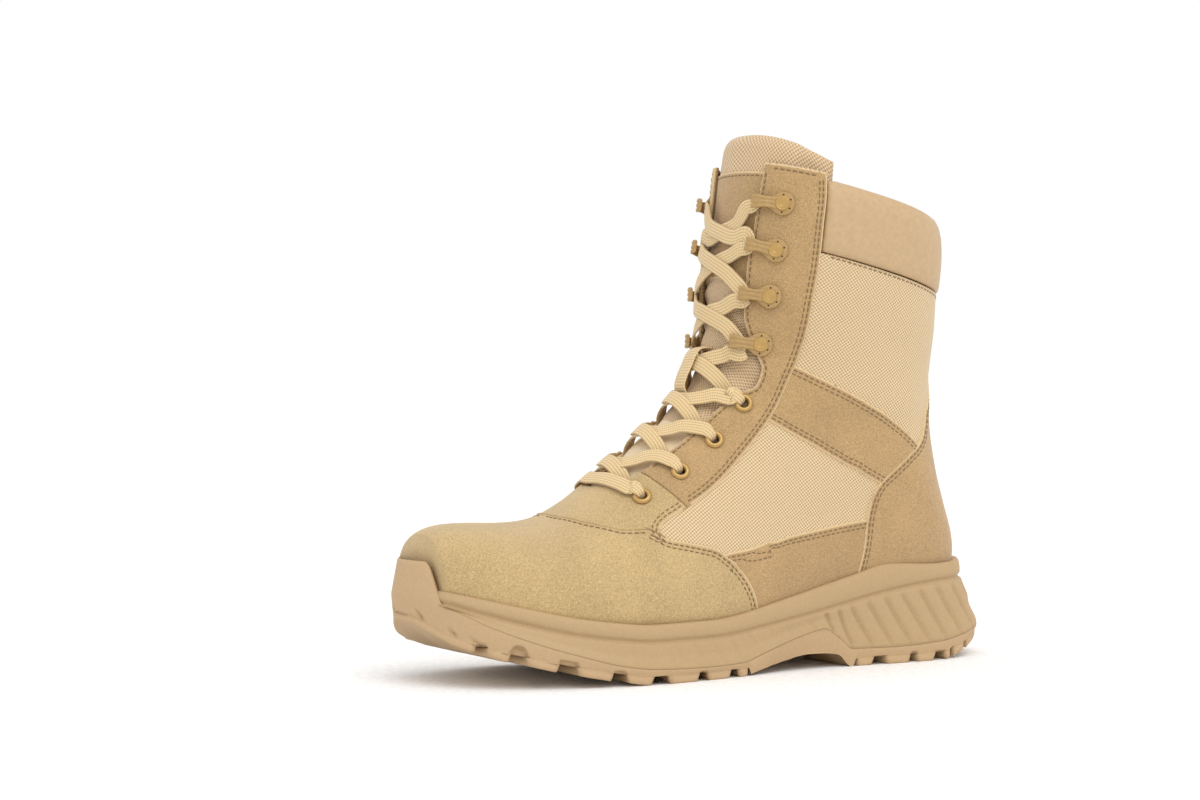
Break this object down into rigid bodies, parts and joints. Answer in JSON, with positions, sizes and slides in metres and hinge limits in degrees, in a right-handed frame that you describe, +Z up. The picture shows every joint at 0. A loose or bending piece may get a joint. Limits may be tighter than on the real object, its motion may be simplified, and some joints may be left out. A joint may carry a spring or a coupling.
{
  "type": "combat boot",
  "caption": "Left high lace-up combat boot in suede and woven nylon, with lace hooks, padded collar and tongue, inner side zip and a lugged sole.",
  "frame": {"origin": "on the floor, on the flat tread block under the middle of the heel", "axes": "+X towards the toe, +Y towards the outer side of the foot, +Z up the shaft"},
  "size_m": [0.3186, 0.1092, 0.2599],
  "materials": {
    "suede": "napped suede split leather, with woven nylon panels between",
    "smooth_leather": "smooth, softly glossy padded leather",
    "knit": "padded knit fabric",
    "webbing": "flat woven cord",
    "foam": "moulded foam, matt",
    "rubber": "moulded rubber, matt",
    "insole": "foam with a fabric cover",
    "coated_metal": "bronze-tan lacquer",
    "zip_tape": "woven zip tape with a coil",
    "zip_metal": "bronze-tan lacquer, slightly glossy"
  },
  "bodies": {
    "boot": {"outsole": "rubber", "midsole": "foam", "upper": "suede", "insole": "insole", "collar_back": "smooth_leather", "collar_inner": "smooth_leather", "tongue": "knit", "eyelet_outer_1": "coated_metal", "eyelet_outer_2": "coated_metal", "eyelet_outer_3": "coated_metal", "eyelet_outer_4": "coated_metal", "eyelet_inner_1": "coated_metal", "eyelet_inner_2": "coated_metal", "eyelet_inner_3": "coated_metal", "eyelet_inner_4": "coated_metal", "hook_outer_1": "coated_metal", "hook_outer_2": "coated_metal", "hook_outer_3": "coated_metal", "hook_outer_4": "coated_metal", "hook_inner_1": "coated_metal", "hook_inner_2": "coated_metal", "hook_inner_3": "coated_metal", "hook_inner_4": "coated_metal", "lace_bar": "webbing", "lace_cross_1": "webbing", "lace_cross_2": "webbing", "lace_cross_3": "webbing", "lace_cross_4": "webbing", "lace_cross_5": "webbing", "lace_cross_6": "webbing", "lace_cross_7": "webbing", "lace_keeper": "webbing", "zip": "zip_tape", "zip_slider": "zip_metal"},
    "zip_pull": {"zip_pull": "zip_metal"}
  },
  "joints": [
    {"name": "pull_swing", "type": "hinge", "parent": "boot", "child": "zip_pull", "pos_m": [-0.00046, -0.04942, 0.2191], "axis": [-0.9741, 0.1237, -0.1891], "range_deg": [0, 150]}
  ]
}
